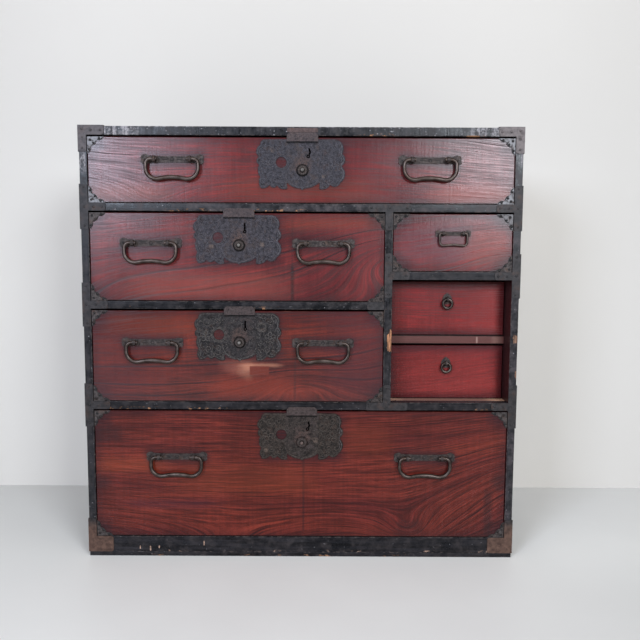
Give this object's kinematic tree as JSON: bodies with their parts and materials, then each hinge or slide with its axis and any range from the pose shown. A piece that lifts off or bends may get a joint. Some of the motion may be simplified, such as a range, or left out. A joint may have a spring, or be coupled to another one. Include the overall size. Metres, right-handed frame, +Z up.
{
  "type": "choba tansu chest of drawers",
  "caption": "Low merchant's chest of drawers in red and black lacquered wood, with an open niche, bail handles, ring pulls, scalloped iron lock plates, push-button locks and corner straps.",
  "frame": {"origin": "on the floor, under the middle of the chest's bounding box", "axes": "+X to the right seen from the front, +Y from the front to the back, +Z up"},
  "size_m": [0.913, 0.4378, 0.909],
  "materials": {
    "black_lacquer": "worn black lacquer",
    "red_lacquer": "translucent red lacquer over grain",
    "niche_red": "dull red lacquer",
    "bare_wood": "bare, darkened with age",
    "forged_iron": "forged, oil-blackened, rubbed",
    "lock_iron": "blackened, engraved",
    "strap_iron": "blackened, rusty at the foot"
  },
  "bodies": {
    "case": {"top_board": "black_lacquer", "bottom_board": "black_lacquer", "left_side_board": "black_lacquer", "right_side_board": "black_lacquer", "partition_board": "black_lacquer", "back_boards": "bare_wood", "upper_rail": "black_lacquer", "left_mid_rail": "black_lacquer", "lower_rail": "black_lacquer", "right_mid_rail": "black_lacquer", "base_rail": "black_lacquer", "dust_boards": "bare_wood", "niche_shelf": "niche_red", "bottom_runners": "bare_wood", "corner_straps": "strap_iron", "frame_straps": "strap_iron"},
    "top_drawer": {"top_drawer_front": "red_lacquer", "top_drawer_box": "bare_wood", "top_drawer_face_plates": "forged_iron", "top_drawer_lock": "lock_iron"},
    "top_drawer_left_bail": {"top_drawer_left_bail": "forged_iron"},
    "top_drawer_right_bail": {"top_drawer_right_bail": "forged_iron"},
    "top_drawer_lock_button": {"top_drawer_lock_button": "forged_iron"},
    "top_drawer_lock_bolt": {"top_drawer_lock_bolt": "forged_iron"},
    "upper_left_drawer": {"upper_left_drawer_front": "red_lacquer", "upper_left_drawer_box": "bare_wood", "upper_left_drawer_face_plates": "forged_iron", "upper_left_drawer_lock": "lock_iron"},
    "upper_left_drawer_left_bail": {"upper_left_drawer_left_bail": "forged_iron"},
    "upper_left_drawer_right_bail": {"upper_left_drawer_right_bail": "forged_iron"},
    "upper_left_drawer_lock_button": {"upper_left_drawer_lock_button": "forged_iron"},
    "upper_left_drawer_lock_bolt": {"upper_left_drawer_lock_bolt": "forged_iron"},
    "lower_left_drawer": {"lower_left_drawer_front": "red_lacquer", "lower_left_drawer_box": "bare_wood", "lower_left_drawer_face_plates": "forged_iron", "lower_left_drawer_lock": "lock_iron"},
    "lower_left_drawer_left_bail": {"lower_left_drawer_left_bail": "forged_iron"},
    "lower_left_drawer_right_bail": {"lower_left_drawer_right_bail": "forged_iron"},
    "lower_left_drawer_lock_button": {"lower_left_drawer_lock_button": "forged_iron"},
    "lower_left_drawer_lock_bolt": {"lower_left_drawer_lock_bolt": "forged_iron"},
    "bottom_drawer": {"bottom_drawer_front": "red_lacquer", "bottom_drawer_box": "bare_wood", "bottom_drawer_face_plates": "forged_iron", "bottom_drawer_lock": "lock_iron"},
    "bottom_drawer_left_bail": {"bottom_drawer_left_bail": "forged_iron"},
    "bottom_drawer_right_bail": {"bottom_drawer_right_bail": "forged_iron"},
    "bottom_drawer_lock_button": {"bottom_drawer_lock_button": "forged_iron"},
    "bottom_drawer_lock_bolt": {"bottom_drawer_lock_bolt": "forged_iron"},
    "small_drawer": {"small_drawer_front": "red_lacquer", "small_drawer_box": "bare_wood", "small_drawer_face_plates": "forged_iron"},
    "small_drawer_bail": {"small_drawer_bail": "forged_iron"},
    "niche_upper_drawer": {"niche_upper_drawer_front": "niche_red", "niche_upper_drawer_box": "bare_wood", "niche_upper_drawer_ring_mount": "forged_iron"},
    "niche_upper_drawer_ring": {"niche_upper_drawer_ring": "forged_iron"},
    "niche_lower_drawer": {"niche_lower_drawer_front": "niche_red", "niche_lower_drawer_box": "bare_wood", "niche_lower_drawer_ring_mount": "forged_iron"},
    "niche_lower_drawer_ring": {"niche_lower_drawer_ring": "forged_iron"}
  },
  "joints": [
    {"name": "top_drawer_slide", "type": "slide", "parent": "case", "child": "top_drawer", "axis": [0, -1, 0], "range_m": [0, 0.3]},
    {"name": "top_drawer_left_bail_swing", "type": "hinge", "parent": "top_drawer", "child": "top_drawer_left_bail", "pos_m": [-0.264, -0.21325, 0.841], "axis": [-1, 0, 0], "range_deg": [-4, 95]},
    {"name": "top_drawer_right_bail_swing", "type": "hinge", "parent": "top_drawer", "child": "top_drawer_right_bail", "pos_m": [0.264, -0.21325, 0.841], "axis": [-1, 0, 0], "range_deg": [-4, 95]},
    {"name": "top_drawer_lock_button_push", "type": "slide", "parent": "top_drawer", "child": "top_drawer_lock_button", "axis": [0, 1, 0], "range_m": [0, 0.006], "stiffness_N_per_m": 300, "springref_m": -0.002},
    {"name": "top_drawer_lock_bolt_rise", "type": "slide", "parent": "top_drawer", "child": "top_drawer_lock_bolt", "axis": [0, 0, 1], "range_m": [0, 0.008]},
    {"name": "upper_left_drawer_slide", "type": "slide", "parent": "case", "child": "upper_left_drawer", "axis": [0, -1, 0], "range_m": [0, 0.3]},
    {"name": "upper_left_drawer_left_bail_swing", "type": "hinge", "parent": "upper_left_drawer", "child": "upper_left_drawer_left_bail", "pos_m": [-0.3115, -0.21325, 0.671], "axis": [-1, 0, 0], "range_deg": [-4, 95]},
    {"name": "upper_left_drawer_right_bail_swing", "type": "hinge", "parent": "upper_left_drawer", "child": "upper_left_drawer_right_bail", "pos_m": [0.0465, -0.21325, 0.671], "axis": [-1, 0, 0], "range_deg": [-4, 95]},
    {"name": "upper_left_drawer_lock_button_push", "type": "slide", "parent": "upper_left_drawer", "child": "upper_left_drawer_lock_button", "axis": [0, 1, 0], "range_m": [0, 0.006], "stiffness_N_per_m": 300, "springref_m": -0.002},
    {"name": "upper_left_drawer_lock_bolt_rise", "type": "slide", "parent": "upper_left_drawer", "child": "upper_left_drawer_lock_bolt", "axis": [0, 0, 1], "range_m": [0, 0.008]},
    {"name": "lower_left_drawer_slide", "type": "slide", "parent": "case", "child": "lower_left_drawer", "axis": [0, -1, 0], "range_m": [0, 0.3]},
    {"name": "lower_left_drawer_left_bail_swing", "type": "hinge", "parent": "lower_left_drawer", "child": "lower_left_drawer_left_bail", "pos_m": [-0.3115, -0.21325, 0.464], "axis": [-1, 0, 0], "range_deg": [-4, 95]},
    {"name": "lower_left_drawer_right_bail_swing", "type": "hinge", "parent": "lower_left_drawer", "child": "lower_left_drawer_right_bail", "pos_m": [0.0465, -0.21325, 0.464], "axis": [-1, 0, 0], "range_deg": [-4, 95]},
    {"name": "lower_left_drawer_lock_button_push", "type": "slide", "parent": "lower_left_drawer", "child": "lower_left_drawer_lock_button", "axis": [0, 1, 0], "range_m": [0, 0.006], "stiffness_N_per_m": 300, "springref_m": -0.002},
    {"name": "lower_left_drawer_lock_bolt_rise", "type": "slide", "parent": "lower_left_drawer", "child": "lower_left_drawer_lock_bolt", "axis": [0, 0, 1], "range_m": [0, 0.008]},
    {"name": "bottom_drawer_slide", "type": "slide", "parent": "case", "child": "bottom_drawer", "axis": [0, -1, 0], "range_m": [0, 0.3]},
    {"name": "bottom_drawer_left_bail_swing", "type": "hinge", "parent": "bottom_drawer", "child": "bottom_drawer_left_bail", "pos_m": [-0.264, -0.21325, 0.2195], "axis": [-1, 0, 0], "range_deg": [-4, 95]},
    {"name": "bottom_drawer_right_bail_swing", "type": "hinge", "parent": "bottom_drawer", "child": "bottom_drawer_right_bail", "pos_m": [0.264, -0.21325, 0.2195], "axis": [-1, 0, 0], "range_deg": [-4, 95]},
    {"name": "bottom_drawer_lock_button_push", "type": "slide", "parent": "bottom_drawer", "child": "bottom_drawer_lock_button", "axis": [0, 1, 0], "range_m": [0, 0.006], "stiffness_N_per_m": 300, "springref_m": -0.002},
    {"name": "bottom_drawer_lock_bolt_rise", "type": "slide", "parent": "bottom_drawer", "child": "bottom_drawer_lock_bolt", "axis": [0, 0, 1], "range_m": [0, 0.008]},
    {"name": "small_drawer_slide", "type": "slide", "parent": "case", "child": "small_drawer", "axis": [0, -1, 0], "range_m": [0, 0.3]},
    {"name": "small_drawer_bail_swing", "type": "hinge", "parent": "small_drawer", "child": "small_drawer_bail", "pos_m": [0.3145, -0.21075, 0.693], "axis": [-1, 0, 0], "range_deg": [-4, 95]},
    {"name": "niche_upper_drawer_slide", "type": "slide", "parent": "case", "child": "niche_upper_drawer", "axis": [0, -1, 0], "range_m": [0, 0.25]},
    {"name": "niche_upper_drawer_ring_swing", "type": "hinge", "parent": "niche_upper_drawer", "child": "niche_upper_drawer_ring", "pos_m": [0.3145, -0.16095, 0.556], "axis": [-1, 0, 0], "range_deg": [0, 90]},
    {"name": "niche_lower_drawer_slide", "type": "slide", "parent": "case", "child": "niche_lower_drawer", "axis": [0, -1, 0], "range_m": [0, 0.25]},
    {"name": "niche_lower_drawer_ring_swing", "type": "hinge", "parent": "niche_lower_drawer", "child": "niche_lower_drawer_ring", "pos_m": [0.3145, -0.16095, 0.41725], "axis": [-1, 0, 0], "range_deg": [0, 90]}
  ],
  "couplings": [
    {"joint": "top_drawer_lock_bolt_rise", "follows": "top_drawer_lock_button_push", "ratio": 1.333},
    {"joint": "upper_left_drawer_lock_bolt_rise", "follows": "upper_left_drawer_lock_button_push", "ratio": 1.333},
    {"joint": "lower_left_drawer_lock_bolt_rise", "follows": "lower_left_drawer_lock_button_push", "ratio": 1.333},
    {"joint": "bottom_drawer_lock_bolt_rise", "follows": "bottom_drawer_lock_button_push", "ratio": 1.333}
  ]
}
